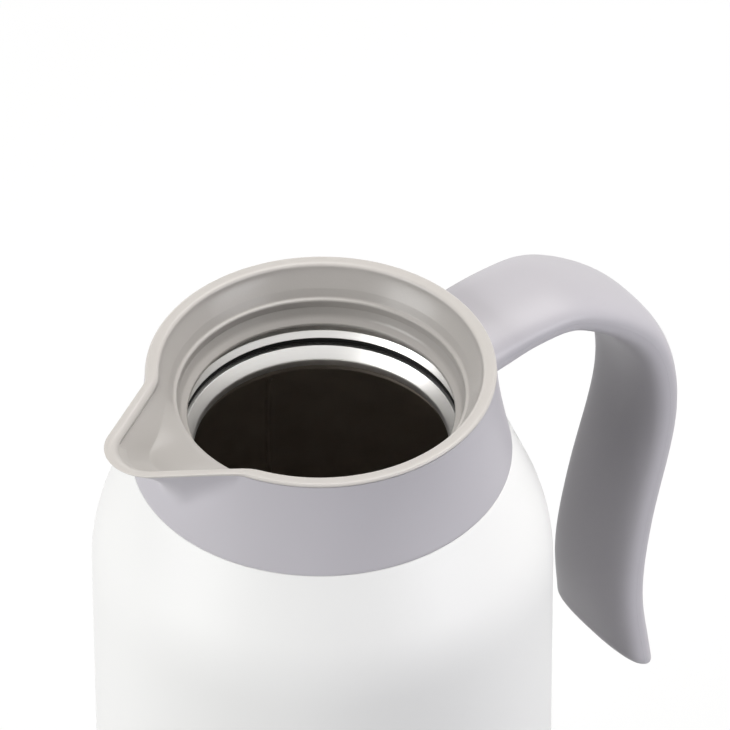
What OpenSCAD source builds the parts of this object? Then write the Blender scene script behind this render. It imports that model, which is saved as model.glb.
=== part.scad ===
// Thermal carafe: a steel vacuum body with a plastic collar, pouring spout and open-ended handle.
// Sizes in millimetres. The axis is Z and the table is z = 0.
// The handle points along +X and the spout along -X.

/* [Vacuum body] */
// height of the rim above the table
rim_h = 240; // [215:1:290]
// diameter of the body
body_d = 136; // [132:1:146]
// slope of the shoulder, from vertical
shoulder_a = 22; // [18:1:26]
// radius where the wall bends into the shoulder
shoulder_r = 60; // [40:1:75]
// rounding of the bottom edge
bottom_r = 4; // [3:0.5:7]
// sheet of the outer shell and its base
shell_t = 0.8; // [0.5:0.1:1.2]
// sheet of the liner and its base
liner_t = 0.8; // [0.5:0.1:1.2]
// evacuated gap between shell and liner
vacuum_gap = 4; // [3:0.25:6]
// evacuated gap under the liner
base_gap = 6.2; // [5:0.2:12]
// angle of the liner's weld seam, from the handle
seam_a = 70.4; // [0:0.2:180]

/* [Neck] */
// how far the sealing land inside the steel neck stands within the rim's outside
land_inset = 13.7; // [13.3:0.1:14.6]
// height of the sealing land
land_h = 2.4; // [1.6:0.1:4]
// height of the slope above the land
slope_h = 3.4; // [2.4:0.1:4.4]
// width of the slope above the land
slope_w = 2.5; // [2:0.1:2.8]
// wall of the steel neck ring at the land
neck_t = 5; // [4.8:0.1:5.4]
// height of the groove above the slope
groove_h = 2.2; // [1.4:0.1:3]
// depth of the groove in the neck's wall
groove_deep = 1.2; // [0.8:0.1:1.2]
// how much wider the neck is above the groove
lead_in = 3.2; // [2.9:0.1:3.4]
// height of the neck above the groove
lead_h = 4.8; // [4:0.1:5.6]
// thickness of the silicone gaskets
gasket_t = 1.2; // [0.8:0.1:2]

/* [Collar] */
// diameter of the round part of the rim
rim_d = 102.2; // [100:0.2:106]
// width of the rim's top band
rim_w = 4.1; // [3.6:0.1:5]
// height of the collar
collar_h = 30.9; // [29:0.1:36]
// how far the collar's lower edge stands out from the rim
collar_lean = 4.7; // [3:0.1:7]
// how late the collar flares toward its lower edge
collar_flare = 1.5; // [1:0.1:2.5]
// rounding of the rim's edges
rim_round = 0.9; // [0.4:0.1:1.2]
// height of the cap that the funnel lays over the collar's top edge
cap_t = 1.5; // [1.3:0.1:1.8]
// thickness of the web that is clamped on the neck
web_t = 2; // [1.5:0.1:2.5]
// height of the shell's ledge above the collar's lower edge
ledge_rise = 5.4; // [4:0.2:6.4]

/* [Spout] */
// reach of the spout's tip from the round rim
spout_reach = 22.5; // [18:0.5:30]
// rounding of the tip
spout_tip_r = 13.3; // [10:0.1:15]
// half the angle between the spout's sides
spout_a = 31.6; // [28:0.2:35]
// rounding where the sides leave the round rim
spout_fillet = 12.7; // [8:0.1:18]
// width of the rim's top band round the spout
spout_w = 3; // [2.6:0.1:4]
// depth of the beak under the rim
spout_drop = 28; // [20:0.5:28.5]
// how quickly the beak draws in under the rim
spout_draw = 1.5; // [1:0.1:2]

/* [Mouth] */
// depth of the funnel's lower edge under the rim
funnel_drop = 9.4; // [8:0.2:11]
// height of the funnel's upright foot
funnel_foot = 2.6; // [1.6:0.1:3]
// how far the funnel's edge stands outside the sealing land
funnel_step = 4.5; // [4.1:0.1:4.9]
// share of the funnel's slope above its crease
crease_share = 0.54; // [0.4:0.01:0.6]
// that share at the spout's tip
crease_tip = 0.42; // [0.36:0.01:0.54]
// extra depth at the crease
crease_dip = 1.1; // [0:0.1:1.4]
// height of the mouth ring inside the funnel
mouth_h = 5; // [4:0.2:5.6]
// how far the mouth ring's lip stands outside the sealing land
lip_step = 1.5; // [1.2:0.1:1.9]

/* [Handle] */
// greatest distance of the handle's middle from the axis
handle_reach = 114.2; // [107:0.2:125]
// depth of that point under the rim
handle_reach_drop = 62; // [54:1:74]
// distance of the arch's top from the rim
arch_out = 16.7; // [14:0.1:22]
// depth of the arch's middle under the rim
arch_drop = 10; // [9:0.2:12]
// depth of the handle's root under the rim
root_drop = 13.6; // [12.8:0.2:16]
// distance of the waist from the axis
waist_x = 101.2; // [96:0.2:110]
// depth of the waist under the rim
waist_drop = 128; // [112:1:138]
// depth of the tail's end under the rim
tail_drop = 152.6; // [146:0.2:175]
// how far the tail flicks outward from the waist
tail_flick = 2.4; // [0:0.2:8]
// how far the tail's end is slanted
tail_slant = 4.6; // [0:0.2:6]
// thickness of the handle
handle_t = 13.4; // [11:0.2:16]
// thickness of the handle at its root
root_t = 16.2; // [14:0.2:20]
// width of the handle at its root
root_w = 31.5; // [26:0.5:36]
// width of the handle at its tail
tail_w = 42; // [32:0.2:44]
// squareness of the handle's section
section_n = 2.9; // [2:0.1:5]
// diameter of the handle's screws
screw_d = 3.6; // [3:0.1:4]

/* [Base] */
// height of the shell's bottom edge above the table
stand_h = 1.2; // [0.8:0.1:2]
// width of the shell's edge, turned in under the base
turn_in = 7; // [5:0.5:10]
// depth of the base plate inside the turned edge
base_recess = 3.8; // [3.4:0.1:6]
// thickness of the non-slip pad
pad_t = 2.6; // [2.2:0.1:3]

/* [Fits] */
// clearance round rings and discs
fit = 0.2; // [0.1:0.05:0.3]
// clearance between welded sheets
weld_gap = 0.1; // [0.05:0.05:0.2]
// gap of the seam in the rim and along the handle
seam_gap = 0.12; // [0.08:0.02:0.2]

/* [Hidden] */
$fn = 96;

body_r = body_d / 2;
rim_r = rim_d / 2;
collar_r = rim_r + collar_lean;
neck_r = rim_r - land_inset;
arch_x = rim_r + arch_out;
collar_t = (rim_w - seam_gap) / 2;
rim_soft = rim_round * (1 - sin(45));

// heights, from the rim down
ring_top_z = rim_h - funnel_drop - funnel_foot;
lip_under_z = ring_top_z - mouth_h;
lip_z = lip_under_z - gasket_t;
groove_top_z = lip_z - lead_h;
slope_top_z = groove_top_z - groove_h;
land_top_z = slope_top_z - slope_h;
neck_bottom_z = land_top_z - land_h;
seat_z = rim_h - collar_h;
ledge_z = seat_z + ledge_rise;
web_z = ledge_z + gasket_t;
web_top_z = web_z + web_t;

// shoulder of the body: an arc, then a cone to the collar's lower edge
bend_x = body_r - shoulder_r;
bend_end_r = bend_x + shoulder_r * cos(shoulder_a);
bend_z = seat_z - (bend_end_r - collar_r) / tan(shoulder_a) - shoulder_r * sin(shoulder_a);
bend_steps = 10;
edge_steps = 6;
wall_foot_z = stand_h + bottom_r;

// neck and seat
lead_r = neck_r + lead_in;
groove_r = lead_r + groove_deep;
ring_out_r = neck_r + neck_t;
neck_in_r = ring_out_r + weld_gap;
neck_out_r = neck_in_r + shell_t;
seat_r = collar_r - collar_t - fit;
ledge_in = 2.4;
web_gap = 0.6;
ledge_r = seat_r - ledge_in;
web_r = neck_out_r + web_gap;
skirt_r = neck_out_r + fit;
skirt_t = 2;
flange_w = 2.4;
flange_t = 2;
edge_r = neck_r + funnel_step;
mouth_r = neck_r + lip_step;
gasket_edge = 1;
mouth_bow = 0.68;
seal_bulge = 0.8;

// liner and base
liner_out_r = body_r - shell_t - vacuum_gap;
liner_in_r = liner_out_r - liner_t;
liner_inset = shell_t + vacuum_gap;
liner_knee_drop = 12;
liner_knee_z = ledge_z - liner_knee_drop;
liner_knee_t = liner_t * 1.6;
liner_throat = 1.6;
throat_step = 1.2;
throat_r = neck_r + throat_step;
plate_z = stand_h + base_recess;
plate_flange = 8;
plate_r = body_r - shell_t - weld_gap;
liner_base_z = plate_z + shell_t + base_gap;
liner_base_r = 8;
liner_base_wall = 4;
liner_join_z = liner_base_z + liner_base_r + liner_base_wall;
turn_r = body_r - turn_in;
cover_r = turn_r - fit;
cover_z = stand_h + fit;
pad_edge = 4.5;
pad_r = cover_r - pad_edge;
seal_r = 4;
seal_t = 0.8;
seal_hole_r = 1.5;
seal_pocket_r = 7;
seal_pocket_z = plate_z - seal_t - 2 * fit;
getter_x = 25;
getter_r = 5;
getter_t = 2;
clip_w = 6;
clip_foot = 4;
clip_t = 0.5;
foil_t = 0.3;
bead_r = 0.5;
bead_end = 1;

// loft density
tip_steps = 7;
side_steps = 3;
fillet_steps = 5;
round_steps = 26;
wall_steps = 12;
inner_steps = 6;
span_steps = 7;
section_steps = 14;
flat_steps = 8;
root_cap_steps = 6;

// points of an arc
function arc(c, r, a0, a1, n) =
    [for (i = [0:n]) c + r * [cos(a0 + (a1 - a0) * i / n), sin(a0 + (a1 - a0) * i / n)]];

// list in the opposite order
function reversed(v) = [for (i = [len(v) - 1:-1:0]) v[i]];

// radius of the shoulder's cone at height z, t inside the painted surface
function cone_r(t, z) =
    bend_x + (shoulder_r - t) * cos(shoulder_a)
    - (z - bend_z - (shoulder_r - t) * sin(shoulder_a)) * tan(shoulder_a);

// wall and shoulder, t inside the painted surface, from height z0 up to z1 on the cone
function body_curve(t, z0, z1) =
    concat([[body_r - t, z0]],
           arc([bend_x, bend_z], shoulder_r - t, 0, shoulder_a, bend_steps),
           [[cone_r(t, z1), z1]]);

// outline of the rim with its spout, set in from the outside; the spout points along -X
spout_cx = rim_r + spout_reach - spout_tip_r;
function half_rim(inset) =
    let (thin = inset * spout_w / rim_w,
         fillet = spout_fillet + inset,
         reach = rim_r - inset + fillet,
         side = spout_cx * sin(spout_a) + spout_tip_r - thin,
         a0 = asin((side + fillet) / reach) - spout_a,
         tip = arc([spout_cx, 0], spout_tip_r - thin, 0, 90 - spout_a, tip_steps),
         fill = arc(reach * [cos(a0), sin(a0)], fillet, 270 - spout_a, 180 + a0, fillet_steps),
         turn = arc([0, 0], rim_r - inset, a0, 180, round_steps),
         a = tip[tip_steps],
         b = fill[0])
    concat(tip,
           [for (i = [1:side_steps - 1]) a + (b - a) * i / side_steps],
           fill,
           [for (i = [1:round_steps]) turn[i]]);
function rim_outline(inset) =
    let (h = half_rim(inset), n = len(h))
    concat([for (p = h) [-p[0], -p[1]]],
           [for (i = [n - 2:-1:1]) [-h[i][0], h[i][1]]]);

// radius of the collar's round part at depth d
function collar_out(d) = rim_r + (collar_r - rim_r) * pow(max(d, 0) / collar_h, collar_flare);

// share of the beak left at depth d; a part of it that reaches less far out ends less deep
function beak_left(out, d) =
    pow(max(0, 1 - d / (spout_drop * sqrt(max(out, fit) / spout_reach))), spout_draw);

// ring of the collar's wall, set in from its outside, at depth d
function wall_ring(inset, d) =
    [for (p = rim_outline(inset))
        let (r = norm(p),
             out = r - rim_r + inset,
             q = collar_out(d) - inset + beak_left(out, d) * out)
        [p[0] * q / r, p[1] * q / r, rim_h - d]];

// round ring with the same directions as the rim's outline
function round_ring(r, d) =
    [for (p = rim_outline(0)) [p[0] * r / norm(p), p[1] * r / norm(p), rim_h - d]];

// ring on the funnel's slope: step 0 is the rim's inner edge, 1 the crease, 2 the lower edge
crease_turn = 3;
rim_in_r = rim_r - rim_w;
tip_in_r = rim_r + spout_reach - spout_w;
function crease_at(r) =
    crease_share + (crease_tip - crease_share) * pow((r - rim_in_r) / (tip_in_r - rim_in_r), crease_turn);
function funnel_ring(step, r_add, d) =
    [for (p = rim_outline(rim_w))
        let (r = norm(p),
             c = crease_at(r),
             share = step > 1 ? c + (1 - c) * (step - 1) : c * step,
             q = r + (edge_r - r) * share + r_add)
        [p[0] * q / r, p[1] * q / r, rim_h - d]];

// triangles between closed rings of equal length
function strip(i, j, n) =
    [for (k = [0:n - 1]) each [[i * n + k, j * n + k, j * n + (k + 1) % n],
                               [i * n + k, j * n + (k + 1) % n, i * n + (k + 1) % n]]];

// solid through rings that close on themselves
module looped(rings) {
    m = len(rings);
    n = len(rings[0]);
    polyhedron([for (r = rings) each r], [for (i = [0:m - 1]) each strip(i, (i + 1) % m, n)]);
}

// solid through rings with a fan at each end
module capped(rings) {
    m = len(rings);
    n = len(rings[0]);
    last = (m - 1) * n;
    first_mid = m * n;
    ends = [mean(rings[0]), mean(rings[m - 1])];
    polyhedron(concat([for (r = rings) each r], ends),
               concat([for (i = [0:m - 2]) each strip(i, i + 1, n)],
                      [for (k = [0:n - 1]) [first_mid, k, (k + 1) % n]],
                      [for (k = [0:n - 1]) [first_mid + 1, last + (k + 1) % n, last + k]]));
}
function mean(v) = [for (i = [0:2]) [for (p = v) p[i]] * [for (p = v) 1] / len(v)];

// path of the handle's middle in the XZ plane, from the root to the tail
elbow_out = 0.375;
elbow_down = 0.05;
bend_out = 0.867;
bend_down = 0.428;
lean_in = 0.613;
lean_down = 0.581;
handle_path = [
    [rim_r, rim_h - root_drop],
    [arch_x, rim_h - arch_drop],
    [arch_x + (handle_reach - arch_x) * elbow_out,
     rim_h - arch_drop - (handle_reach_drop - arch_drop) * elbow_down],
    [arch_x + (handle_reach - arch_x) * bend_out,
     rim_h - arch_drop - (handle_reach_drop - arch_drop) * bend_down],
    [handle_reach, rim_h - handle_reach_drop],
    [handle_reach + (waist_x - handle_reach) * lean_in,
     rim_h - handle_reach_drop - (waist_drop - handle_reach_drop) * lean_down],
    [waist_x, rim_h - waist_drop],
    [waist_x + tail_flick, rim_h - tail_drop]];

// point of a smooth curve through the path, at span i and share t
function path_at(v, i, t) =
    let (a = i > 0 ? v[i - 1] : 2 * v[0] - v[1],
         b = v[i],
         c = v[i + 1],
         d = i + 2 < len(v) ? v[i + 2] : 2 * v[i + 1] - v[i])
    (2 * b + (c - a) * t + (2 * a - 5 * b + 4 * c - d) * t * t
     + (3 * b - 3 * c + d - a) * t * t * t) / 2;
spans = len(handle_path) - 1;
stations = concat([for (i = [0:spans - 1]) each [for (k = [0:span_steps - 1])
                      path_at(handle_path, i, k / span_steps)]],
                  [handle_path[spans]]);
last_station = len(stations) - 1;
function along(i) =
    let (v = stations[min(i + 1, last_station)] - stations[max(i - 1, 0)])
    v / norm(v);

// half thickness and half width at a share of the handle's length
root_share = 0.193;
widen = 2.9;
function half_t(s) = (handle_t + (root_t - handle_t) * pow(max(0, 1 - s / root_share), 2)) / 2;
function half_w(s) = (root_w + (tail_w - root_w) * pow(s, widen)) / 2;

// half of the rounded section: side +1 faces outward, side -1 faces the body
function power(c) = sign(c) * pow(abs(c), 2 / section_n);
function half_section(side) =
    concat([for (k = [0:section_steps])
               let (a = 90 - 180 * k / section_steps)
               [side * max(power(cos(a)), 0), side * power(sin(a))]],
           [for (k = [1:flat_steps - 1]) [0, side * (2 * k / flat_steps - 1)]]);

// section number i of one half of the handle; small shrinks it and push moves it along the path
slant_share = 0.75;
tail_corner = 0.28;
function handle_ring(side, i, small, push) =
    let (s = i / last_station,
         t = along(i),
         out = [t[1] * -1, t[0]],
         lean = tail_slant * pow(max(0, (s - slant_share) / (1 - slant_share)), 2))
    [for (q = half_section(side))
        let (u = max(abs(q[0]) * half_t(s) * small, seam_gap / 2) * side,
             w = q[1] * half_w(s) * (1 - (1 - small) * tail_corner),
             c = stations[i] + out * u + t * (push + lean * u / half_t(s)))
        [c[0], w, c[1]]];

// ring moved back along the path onto the collar's outside
function collar_x(y, z) =
    let (r = collar_out(rim_h - z) + seam_gap)
    sqrt(r * r - y * y);
function on_collar(ring, t) =
    [for (p = ring)
        let (z = p[2] - (p[0] - collar_x(p[1], p[2])) * t[1] / t[0])
        [collar_x(p[1], z), p[1], z]];
function shrunk(ring, f) =
    let (m = mean(ring))
    [for (p = ring) m + (p - m) * f];

// first section that stands clear of the collar
first_station = 2;
tail_round = 3.2;
tail_shrink = 0.3;
tail_steps = 4;
module handle_half(side) {
    root = handle_ring(side, first_station, 1, 0);
    t = along(first_station);
    capped(concat([for (k = [1:root_cap_steps]) on_collar(shrunk(root, k / root_cap_steps), t)],
                  [for (i = [first_station:last_station]) handle_ring(side, i, 1, 0)],
                  [for (k = [1:tail_steps])
                      let (a = 90 * k / tail_steps, small = 1 - tail_shrink * (1 - cos(a)))
                      handle_ring(side, last_station, small, tail_round * sin(a))]));
}

// two screws, set radially behind the rim
screw_a = 9.5;
screw_drop = 8.4;
screw_len = 14;
head_r = 2.8;
head_h = 1.8;
key_r = 1.4;
key_depth = 1.2;
key_sides = 6;
screw_seat_r = collar_out(screw_drop - head_r) - collar_t - fit;
module at_screws() {
    for (s = [-1, 1])
        rotate([0, 0, s * screw_a])
            translate([screw_seat_r, 0, rim_h - screw_drop])
                rotate([0, 90, 0]) children();
}

// ring with a rectangular section
module band(r0, r1, z0, z1) {
    rotate_extrude() polygon([[r0, z0], [r1, z0], [r1, z1], [r0, z1]]);
}

// painted steel shell: turned-in bottom edge, wall, shoulder, ledge under the collar, neck
module outer_shell() {
    edge_c = [body_r - bottom_r, wall_foot_z];
    color("white") rotate_extrude() polygon(concat(
        [[turn_r, stand_h]],
        arc(edge_c, bottom_r, -90, 0, edge_steps),
        body_curve(0, wall_foot_z + bottom_r, seat_z),
        [[seat_r, seat_z], [ledge_r, ledge_z], [neck_out_r, ledge_z], [neck_out_r, lip_z]],
        [[neck_in_r, lip_z], [neck_in_r, ledge_z - shell_t], [ledge_r - shell_t, ledge_z - shell_t],
         [seat_r - shell_t, seat_z - shell_t]],
        reversed(body_curve(shell_t, wall_foot_z + bottom_r, seat_z - shell_t)),
        reversed(arc(edge_c, bottom_r - shell_t, -90, 0, edge_steps)),
        [[turn_r, stand_h + shell_t]]));
}

// pressed steel bottom with an upturned flange and the evacuation hole
module outer_base() {
    color("silver") rotate_extrude() polygon([
        [seal_hole_r, plate_z], [plate_r, plate_z], [plate_r, plate_z + plate_flange],
        [plate_r - shell_t, plate_z + plate_flange], [plate_r - shell_t, plate_z + shell_t],
        [seal_hole_r, plate_z + shell_t]]);
}

// dark-coated liner wall and shoulder, with its longitudinal weld seam
module inner_liner() {
    color("dimgray") union() {
        rotate_extrude() polygon(concat(
            body_curve(liner_inset, liner_join_z, liner_knee_z),
            [[throat_r + liner_t, neck_bottom_z - liner_throat], [throat_r + liner_t, neck_bottom_z],
             [throat_r, neck_bottom_z], [throat_r, neck_bottom_z - liner_throat - liner_t]],
            reversed(body_curve(liner_inset + liner_t, liner_join_z, liner_knee_z - liner_knee_t))));
        rotate([0, 0, seam_a]) translate([liner_in_r, 0, liner_join_z + bead_end])
            cylinder(r = bead_r, h = bend_z - liner_join_z - 2 * bead_end);
    }
}

// dished bottom of the liner
module liner_base() {
    c = [liner_out_r - liner_base_r, liner_base_z + liner_base_r];
    color("dimgray") rotate_extrude() polygon(concat(
        [[0, liner_base_z]],
        arc(c, liner_base_r, -90, 0, edge_steps),
        [[liner_out_r, liner_join_z], [liner_in_r, liner_join_z]],
        reversed(arc(c, liner_base_r - liner_t, -90, 0, edge_steps)),
        [[0, liner_base_z + liner_t]]));
}

// bare steel mouth of the vacuum body: sealing land, slope, groove and wider lead-in
module neck_ring() {
    color("gainsboro") rotate_extrude() polygon([
        [neck_r, neck_bottom_z], [ring_out_r, neck_bottom_z], [ring_out_r, lip_z],
        [lead_r, lip_z], [lead_r, groove_top_z], [groove_r, groove_top_z],
        [groove_r, slope_top_z], [neck_r + slope_w, slope_top_z], [neck_r, land_top_z]]);
}

// silicone ring with a rounded face, seated in the groove of the steel neck
module groove_seal() {
    half_h = groove_h / 2 - weld_gap;
    back_r = groove_r - weld_gap;
    face_c = [lead_r + half_h * seal_bulge, (groove_top_z + slope_top_z) / 2];
    color("dimgray") rotate_extrude() polygon(concat(
        arc(face_c, half_h, 90, 270, edge_steps),
        [[back_r, face_c[1] - half_h], [back_r, face_c[1] + half_h]]));
}

// metal foil wrapped round the liner against radiated heat
module radiation_foil() {
    color("peru") band(liner_out_r + weld_gap, liner_out_r + weld_gap + foil_t,
                       liner_join_z + liner_base_r, bend_z - liner_base_r);
}

// gas-absorbing pellet in the vacuum space
module getter() {
    color("gray") translate([getter_x, 0, plate_z + shell_t]) cylinder(r = getter_r, h = getter_t);
}

// strap that holds the pellet on the base plate
module getter_clip() {
    span = 2 * (getter_r + fit);
    top = getter_t + clip_t;
    color("silver") translate([getter_x, 0, plate_z + shell_t]) difference() {
        translate([-span / 2 - clip_foot, -clip_w / 2, 0]) cube([span + 2 * clip_foot, clip_w, top]);
        translate([-span / 2, -clip_w, -top]) cube([span, 2 * clip_w, top + getter_t]);
        for (s = [-1, 1])
            translate([s * (span / 2 + clip_t + clip_foot / 2) - clip_foot / 2, -clip_w, clip_t])
                cube([clip_foot, 2 * clip_w, top]);
    }
}

// plug that closes the evacuation hole
module vacuum_seal() {
    color("darkgray") union() {
        translate([0, 0, plate_z - seal_t]) cylinder(r = seal_r, h = seal_t);
        translate([0, 0, plate_z - seal_t]) cylinder(r = seal_hole_r - weld_gap, h = seal_t + shell_t);
    }
}

// plastic disc that closes the turned-in base
module base_cover() {
    color("gray") rotate_extrude() polygon([
        [0, pad_t], [pad_r + fit, pad_t], [pad_r + fit, cover_z], [cover_r, cover_z], [cover_r, plate_z],
        [seal_pocket_r, plate_z], [seal_pocket_r, seal_pocket_z], [0, seal_pocket_z]]);
}

// non-slip pad that the carafe stands on
module base_pad() {
    color("dimgray") cylinder(r = pad_r, h = pad_t);
}

// plastic collar with the outside of the pouring spout and the web that is clamped on the neck
module collar() {
    d_top = cap_t + seam_gap;
    d_web = rim_h - web_top_z;
    d_web_low = rim_h - web_z;
    color("silver") difference() {
        looped([
            for (k = [wall_steps:-1:0]) wall_ring(0, d_top + (collar_h - d_top) * k / wall_steps),
            for (k = [0:inner_steps]) wall_ring(collar_t, d_top + (d_web - d_top) * k / inner_steps),
            round_ring(web_r, d_web),
            round_ring(web_r, d_web_low),
            wall_ring(collar_t, d_web_low),
            wall_ring(collar_t, collar_h)]);
        at_screws() translate([0, 0, -collar_t]) cylinder(d = screw_d + fit, h = 3 * collar_t);
    }
}

// plastic funnel: the rim's cap, the spout's trough and the slope to the mouth
module funnel() {
    crease_d = rim_round + (funnel_drop - rim_round) * crease_share + crease_dip;
    foot_d = funnel_drop + funnel_foot;
    color("lightgray") looped([
        wall_ring(0, cap_t),
        wall_ring(0, rim_round),
        wall_ring(rim_soft, rim_soft),
        wall_ring(rim_round, 0),
        wall_ring(rim_w - rim_round, 0),
        wall_ring(rim_w - rim_soft, rim_soft),
        wall_ring(rim_w, rim_round),
        funnel_ring(1 / 2, 0, (rim_round + crease_d) / 2),
        funnel_ring(1, 0, crease_d),
        funnel_ring(3 / 2, 0, (crease_d + funnel_drop) / 2),
        round_ring(edge_r, funnel_drop),
        round_ring(edge_r, foot_d),
        round_ring(edge_r + funnel_foot, foot_d),
        round_ring(edge_r + funnel_foot, foot_d - funnel_foot / 2),
        funnel_ring(1, collar_t, crease_d),
        wall_ring(collar_t + seam_gap, cap_t)]);
}

// plastic ring that screws on the steel neck, clamps the collar's web and carries the funnel
module mouth_ring() {
    color("lightgray") rotate_extrude() polygon([
        [edge_r - fit, ring_top_z],
        [(edge_r + mouth_r) / 2, ring_top_z - mouth_h * mouth_bow],
        [mouth_r, lip_under_z + gasket_t / 2], [mouth_r, lip_under_z],
        [skirt_r, lip_under_z], [skirt_r, web_top_z], [skirt_r + skirt_t, web_top_z],
        [skirt_r + skirt_t, ring_top_z - flange_t], [skirt_r + skirt_t + flange_w, ring_top_z - flange_t],
        [skirt_r + skirt_t + flange_w, ring_top_z]]);
}

// silicone ring between the steel lip and the mouth ring
module neck_gasket() {
    color("dimgray") band(lead_r + fit, neck_out_r, lip_z, lip_under_z);
}

// silicone ring between the shell's ledge and the collar's web
module collar_gasket() {
    color("dimgray") band(neck_out_r + gasket_edge, ledge_r - gasket_edge, ledge_z, web_z);
}

// outer half of the open-ended handle
module handle_shell() {
    color("silver") difference() {
        handle_half(1);
        at_screws() cylinder(d = screw_d + weld_gap, h = screw_len + fit);
    }
}

// inner half of the handle, facing the body
module handle_cover() {
    color("gray") handle_half(-1);
}

// screws that hold the handle from inside the collar
module handle_screws() {
    color("silver") at_screws() difference() {
        union() {
            cylinder(d = screw_d, h = screw_len);
            translate([0, 0, -head_h]) cylinder(r = head_r, h = head_h);
        }
        translate([0, 0, -head_h - fit]) cylinder(r = key_r, h = key_depth + fit, $fn = key_sides);
    }
}

outer_shell();
outer_base();
inner_liner();
liner_base();
neck_ring();
groove_seal();
radiation_foil();
getter();
getter_clip();
vacuum_seal();
base_cover();
base_pad();
collar();
funnel();
mouth_ring();
neck_gasket();
collar_gasket();
handle_shell();
handle_cover();
handle_screws();
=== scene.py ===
"""Thermal carafe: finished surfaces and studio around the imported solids."""

import math

import bmesh
import bpy
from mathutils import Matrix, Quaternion, Vector


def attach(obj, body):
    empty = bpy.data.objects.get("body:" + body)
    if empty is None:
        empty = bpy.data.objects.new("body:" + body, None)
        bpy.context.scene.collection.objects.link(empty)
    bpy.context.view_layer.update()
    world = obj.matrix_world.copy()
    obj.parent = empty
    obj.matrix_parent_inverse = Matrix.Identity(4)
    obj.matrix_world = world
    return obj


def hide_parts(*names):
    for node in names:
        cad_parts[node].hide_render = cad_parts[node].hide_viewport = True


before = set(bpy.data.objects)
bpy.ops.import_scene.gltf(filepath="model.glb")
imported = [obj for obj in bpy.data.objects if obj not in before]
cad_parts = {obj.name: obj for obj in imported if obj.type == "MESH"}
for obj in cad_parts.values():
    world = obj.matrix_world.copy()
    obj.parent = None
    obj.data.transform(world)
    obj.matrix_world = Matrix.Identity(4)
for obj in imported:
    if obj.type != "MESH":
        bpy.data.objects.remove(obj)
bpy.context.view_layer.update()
scene = bpy.context.scene

# sizes of the carafe in millimetres, close to those of the part's source
MM = 0.001
FIT = 0.2
SEAM_GAP = 0.12
EDGE_SOFT = 0.12
CUT_ROUND = 0.2
FOLD_ROUND = 0.4
TURN_STEPS = 224
BODY_TURN_STEPS = 256

# rim and collar
RIM_H = 240.0
RIM_R = 51.1
RIM_W = 4.1
RIM_ROUND = 1.3
RIM_OUT_ROUND = 0.85
# painted highlight: depth under the rim where the lightened band on the rim's top reaches full strength
PAINTED_HIGHLIGHT_DEPTH = 0.35
CAP_T = 1.0
COLLAR_T = (RIM_W - SEAM_GAP) / 2
COLLAR_H = 30.9
COLLAR_R = RIM_R + 4.7
COLLAR_FLARE = 1.5
COLLAR_FOOT_ROUND = 0.35
COLLAR_FOOT_MID = 0.1
COLLAR_LEVELS = 26
WEB_LEVELS = 12

# spout, a beak that fades into the round collar with depth
SPOUT_REACH = 22.45
SPOUT_TIP_R = 13.3
SPOUT_A = math.radians(31.6)
SPOUT_FILLET = 12.7
SPOUT_W = 3.0
SPOUT_DROP = 23.0
SPOUT_DRAW = 1.6
BEAK_FADE = 0.65

# funnel, an eased wall down to a crease and a slope to the lower edge
FUNNEL_DROP = 9.4
FUNNEL_FOOT = 2.6
FUNNEL_STEPS = 8
LIP_ROUND = 0.7
EDGE_LEDGE = 1.2
EDGE_RISE = 0.25
WALL_EASE = 0.8
CREASE_SHARE = 0.54
CREASE_TIP = 0.42
CREASE_DIP = 1.1
CREASE_TIP_DIP = 1.4
NEAR_CREASE_ABOVE = (0.95, 0.985)
NEAR_CREASE_BELOW = (0.015, 0.05)

# steel neck with its groove, and the ring round the mouth
NECK_R = RIM_R - 13.7
LEAD_R = NECK_R + 3.2
FLARE_R = LEAD_R + 1.3
GROOVE_R = LEAD_R + 1.2
SLOPE_R = NECK_R + 2.5
RING_OUT_R = NECK_R + 5.0
EDGE_R = NECK_R + 4.5
MOUTH_R = NECK_R + 1.5
BOWL_R = EDGE_R - 1.0
RING_TOP_Z = RIM_H - FUNNEL_DROP - FUNNEL_FOOT
BOWL_Z = RING_TOP_Z - 2.6
BOWL_ROUND = 3.0
RING_STEP = 0.05
RING_ROUND = 0.3
RING_LEAD = 0.2
RING_LEAD_H = 1.0
RING_LEAD_ROUND = 0.6
FLANGE_Z = RING_TOP_Z - 2
LIP_UNDER_Z = RING_TOP_Z - 5.0
LIP_Z = LIP_UNDER_Z - 1.2
GROOVE_TOP_Z = LIP_Z - 4.8
FLARE_Z = GROOVE_TOP_Z + 2.0
GROOVE_LIP = 0.2
GROOVE_LIP_ROUND = 0.15
SLOPE_TOP_Z = GROOVE_TOP_Z - 2.2
SLOPE_ROUND = 0.1
LAND_TOP_Z = SLOPE_TOP_Z - 3.4
LAND_ROUND = 1.6
NECK_BOTTOM_Z = LAND_TOP_Z - 2.4
NECK_BOTTOM_ROUND = 0.5
SEAL_SET_IN = 0.8
SEAL_GAP = 0.1
SEAL_STEPS = 16

# painted body
BODY_R = 68.0
SHELL_T = 0.8
SEAT_Z = RIM_H - COLLAR_H
LEDGE_Z = SEAT_Z + 5.4
LEDGE_ROUND = 0.8
NECK_FOLD_ROUND = 0.6
WEB_Z = LEDGE_Z + 1.2
WEB_TOP_Z = WEB_Z + 2.0
STAND_H = 1.2
BOTTOM_R = 4.0
TURN_IN = 7.0
BOTTOM_STEPS = 12
SHOULDER_A = math.radians(22)
SHOULDER_R = 60.0
BEND_X = BODY_R - SHOULDER_R
BEND_END_R = BEND_X + SHOULDER_R * math.cos(SHOULDER_A)
BEND_Z = SEAT_Z - (BEND_END_R - COLLAR_R) / math.tan(SHOULDER_A) - SHOULDER_R * math.sin(SHOULDER_A)
NECK_IN_R = RING_OUT_R + 0.1
NECK_OUT_R = NECK_IN_R + SHELL_T
SEAT_R = COLLAR_R - COLLAR_T - FIT
SEAT_ROUND = 0.45
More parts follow.
